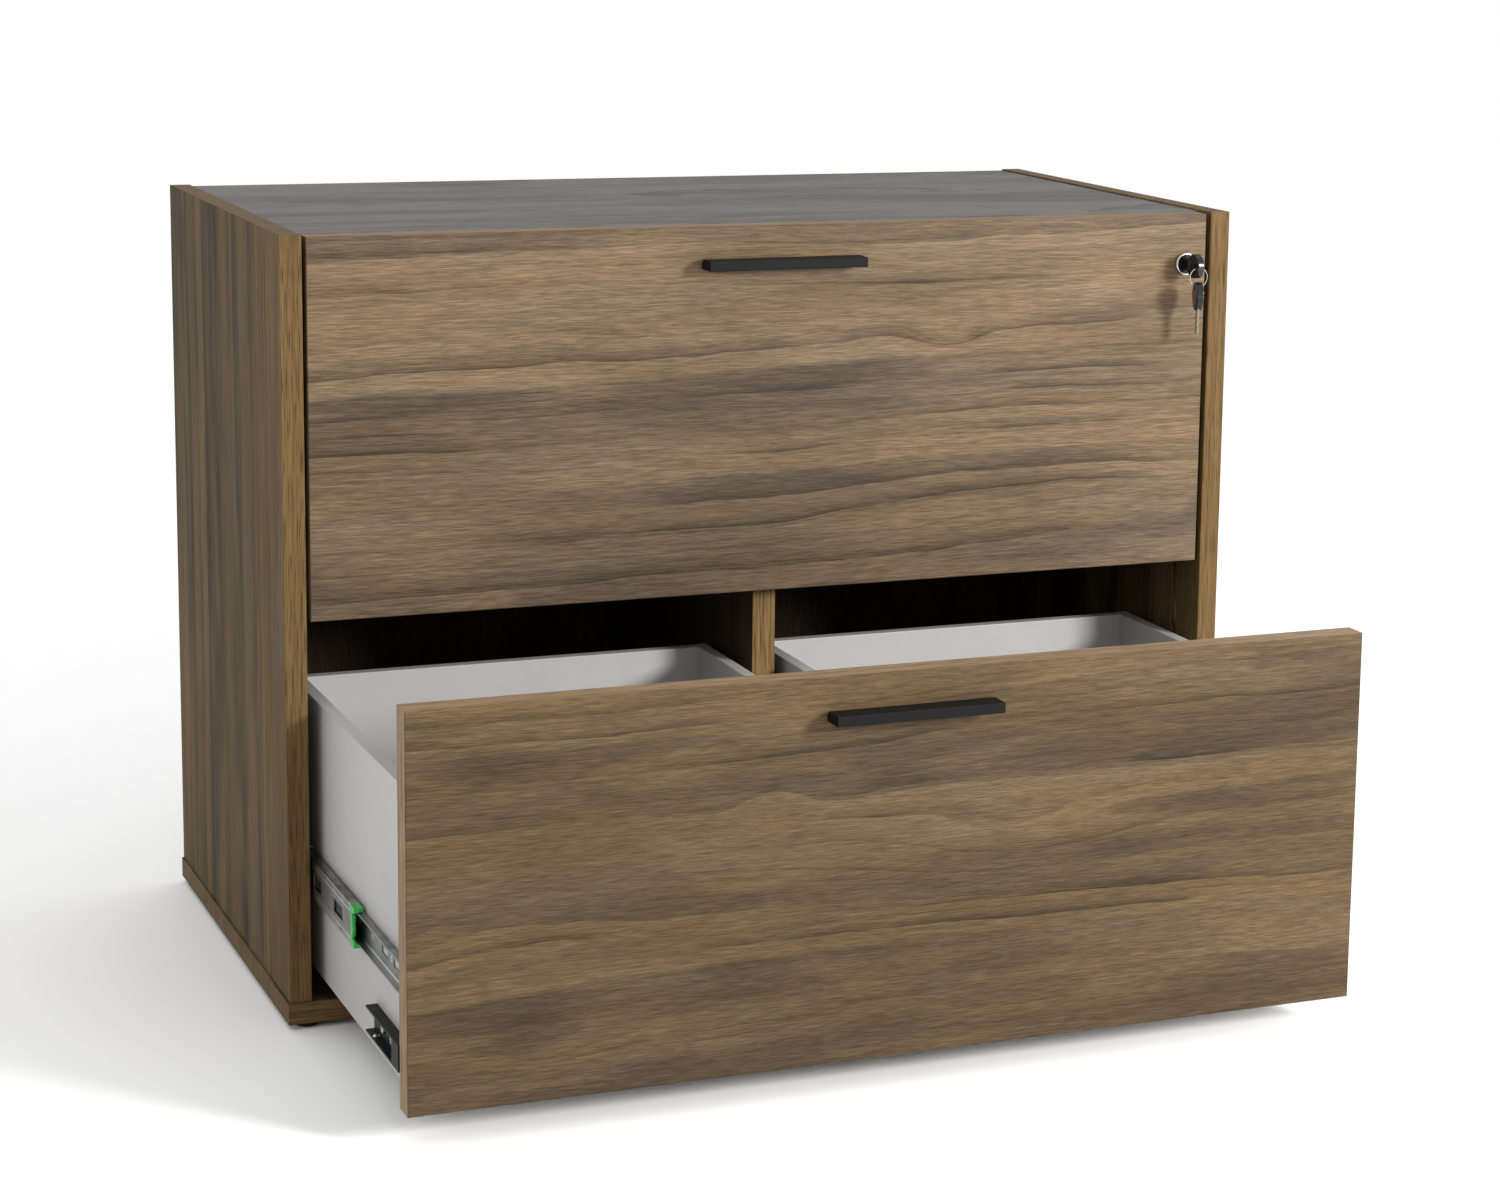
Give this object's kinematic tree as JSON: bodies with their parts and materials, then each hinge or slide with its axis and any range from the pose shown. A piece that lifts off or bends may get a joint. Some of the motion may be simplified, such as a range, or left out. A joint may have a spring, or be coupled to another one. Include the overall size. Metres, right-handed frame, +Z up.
{
  "type": "lateral file cabinet",
  "caption": "Wide office file cabinet with full-width drawers on ball runners, each with a box on either side of a centre divider, bar handles and central locking.",
  "frame": {"origin": "on the floor under the middle of the resting box, with the lower drawer part open", "axes": "+X to the cabinet's right seen from the front, +Y to its back, +Z up"},
  "size_m": [0.924, 0.82, 0.71],
  "materials": {
    "side_laminate": "matte wood-look laminate",
    "front_laminate": "matte wood-look laminate with a level grain",
    "top_laminate": "dark grey wood-look laminate",
    "inner_laminate": "dark brown laminate",
    "box_board": "pale grey coated board",
    "zinc_steel": "zinc plated sheet steel",
    "screw_steel": "zinc plated",
    "ball_steel": "polished balls",
    "black_metal": "matte black coat",
    "black_plastic": "moulded",
    "green_plastic": "moulded",
    "lock_chrome": "plated",
    "cylinder_black": "black coat",
    "key_steel": "nickel plated",
    "beech": "raw dowels",
    "cam_zinc": "die cast"
  },
  "bodies": {
    "cabinet": {"side_panel_left": "side_laminate", "side_panel_right": "side_laminate", "base_board": "side_laminate", "top_panel": "top_laminate", "centre_divider": "inner_laminate", "back_panel": "inner_laminate", "glides": "black_plastic", "panel_dowels": "beech", "carcass_screws": "screw_steel", "cam_bolts": "screw_steel", "cam_locks": "cam_zinc", "cabinet_members": "zinc_steel", "lock_bar_guides": "black_plastic"},
    "lock_bar": {"lock_bar": "screw_steel"},
    "lock_cylinder": {"lock_cylinder": "cylinder_black", "lock_cam": "cam_zinc"},
    "key": {"key_blade": "key_steel"},
    "key_bow": {"key_bow": "black_plastic", "key_rivet": "key_steel"},
    "key_ring": {"key_ring": "key_steel"},
    "spare_key": {"spare_key_bow": "black_plastic", "spare_key_rivet": "key_steel"},
    "spare_blade": {"spare_key_blade": "key_steel"},
    "lower_drawer": {"lower_front": "front_laminate", "lower_handle": "black_metal", "lower_left_box_left_wall": "box_board", "lower_left_box_right_wall": "box_board", "lower_right_box_left_wall": "box_board", "lower_right_box_right_wall": "box_board", "lower_box_backs": "box_board", "lower_box_bottoms": "box_board", "lower_front_brackets": "black_plastic", "lower_drawer_screws": "screw_steel", "lower_drawer_members": "zinc_steel", "lower_catch": "screw_steel"},
    "lower_middle": {"lower_middle_members": "zinc_steel", "lower_end_retainers": "green_plastic"},
    "lower_outer_cage": {"lower_outer_cages": "zinc_steel", "lower_outer_balls": "ball_steel"},
    "lower_inner_cage": {"lower_inner_cages": "zinc_steel", "lower_inner_balls": "ball_steel"},
    "upper_drawer": {"upper_front": "front_laminate", "upper_handle": "black_metal", "upper_left_box_left_wall": "box_board", "upper_left_box_right_wall": "box_board", "upper_right_box_left_wall": "box_board", "upper_right_box_right_wall": "box_board", "upper_box_backs": "box_board", "upper_box_bottoms": "box_board", "upper_front_brackets": "black_plastic", "upper_drawer_screws": "screw_steel", "upper_drawer_members": "zinc_steel", "upper_catch": "screw_steel", "lock_housing": "lock_chrome"},
    "upper_middle": {"upper_middle_members": "zinc_steel", "upper_end_retainers": "green_plastic"},
    "upper_outer_cage": {"upper_outer_cages": "zinc_steel", "upper_outer_balls": "ball_steel"},
    "upper_inner_cage": {"upper_inner_cages": "zinc_steel", "upper_inner_balls": "ball_steel"}
  },
  "joints": [
    {"name": "lower_drawer_slide", "type": "slide", "parent": "cabinet", "child": "lower_drawer", "axis": [0, -1, 0], "range_m": [-0.318, 0.082]},
    {"name": "lower_middle_slide", "type": "slide", "parent": "cabinet", "child": "lower_middle", "axis": [0, -1, 0], "range_m": [-0.17858, 0.04642]},
    {"name": "lower_outer_cage_slide", "type": "slide", "parent": "cabinet", "child": "lower_outer_cage", "axis": [0, -1, 0], "range_m": [-0.08954, 0.02346]},
    {"name": "lower_inner_cage_slide", "type": "slide", "parent": "cabinet", "child": "lower_inner_cage", "axis": [0, -1, 0], "range_m": [-0.24854, 0.06446]},
    {"name": "upper_drawer_slide", "type": "slide", "parent": "cabinet", "child": "upper_drawer", "axis": [0, -1, 0], "range_m": [0, 0.4]},
    {"name": "upper_middle_slide", "type": "slide", "parent": "cabinet", "child": "upper_middle", "axis": [0, -1, 0], "range_m": [0, 0.2245]},
    {"name": "upper_outer_cage_slide", "type": "slide", "parent": "cabinet", "child": "upper_outer_cage", "axis": [0, -1, 0], "range_m": [0, 0.1125]},
    {"name": "upper_inner_cage_slide", "type": "slide", "parent": "cabinet", "child": "upper_inner_cage", "axis": [0, -1, 0], "range_m": [0, 0.3125]},
    {"name": "lock_turn", "type": "hinge", "parent": "upper_drawer", "child": "lock_cylinder", "pos_m": [0.4135, -0.073, 0.661], "axis": [0, 1, 0], "range_deg": [0, 90.5]},
    {"name": "lock_bar_slide", "type": "slide", "parent": "cabinet", "child": "lock_bar", "axis": [0, 0, -1], "range_m": [0, 0.01131]},
    {"name": "key_slide", "type": "slide", "parent": "lock_cylinder", "child": "key", "axis": [0, -1, 0], "range_m": [0, 0.017]},
    {"name": "key_fold", "type": "hinge", "parent": "key", "child": "key_bow", "pos_m": [0.4135, -0.0835, 0.661], "axis": [1, 0, 0], "range_deg": [0, 75]},
    {"name": "key_ring_swing", "type": "hinge", "parent": "key_bow", "child": "key_ring", "pos_m": [0.4135, -0.0978, 0.661], "axis": [1, 0, 0], "range_deg": [-75.5, 0]},
    {"name": "spare_key_swing", "type": "hinge", "parent": "key_ring", "child": "spare_key", "pos_m": [0.4135, -0.0978, 0.64143], "axis": [0.9659, -0.2588, 0], "range_deg": [-40, 4]},
    {"name": "spare_key_fold", "type": "hinge", "parent": "spare_key", "child": "spare_blade", "pos_m": [0.4135, -0.0978, 0.62713], "axis": [0.9659, -0.2588, 0], "range_deg": [0, 22]}
  ],
  "couplings": [
    {"joint": "lower_middle_slide", "follows": "lower_drawer_slide", "ratio": 0.56},
    {"joint": "lower_outer_cage_slide", "follows": "lower_drawer_slide", "ratio": 0.28},
    {"joint": "lower_inner_cage_slide", "follows": "lower_drawer_slide", "ratio": 0.78},
    {"joint": "upper_middle_slide", "follows": "upper_drawer_slide", "ratio": 0.56},
    {"joint": "upper_outer_cage_slide", "follows": "upper_drawer_slide", "ratio": 0.28},
    {"joint": "upper_inner_cage_slide", "follows": "upper_drawer_slide", "ratio": 0.78},
    {"joint": "lock_turn", "follows": "lock_bar_slide", "rad_per_m": 138.84},
    {"joint": "key_ring_swing", "follows": "key_fold", "ratio": -1}
  ]
}
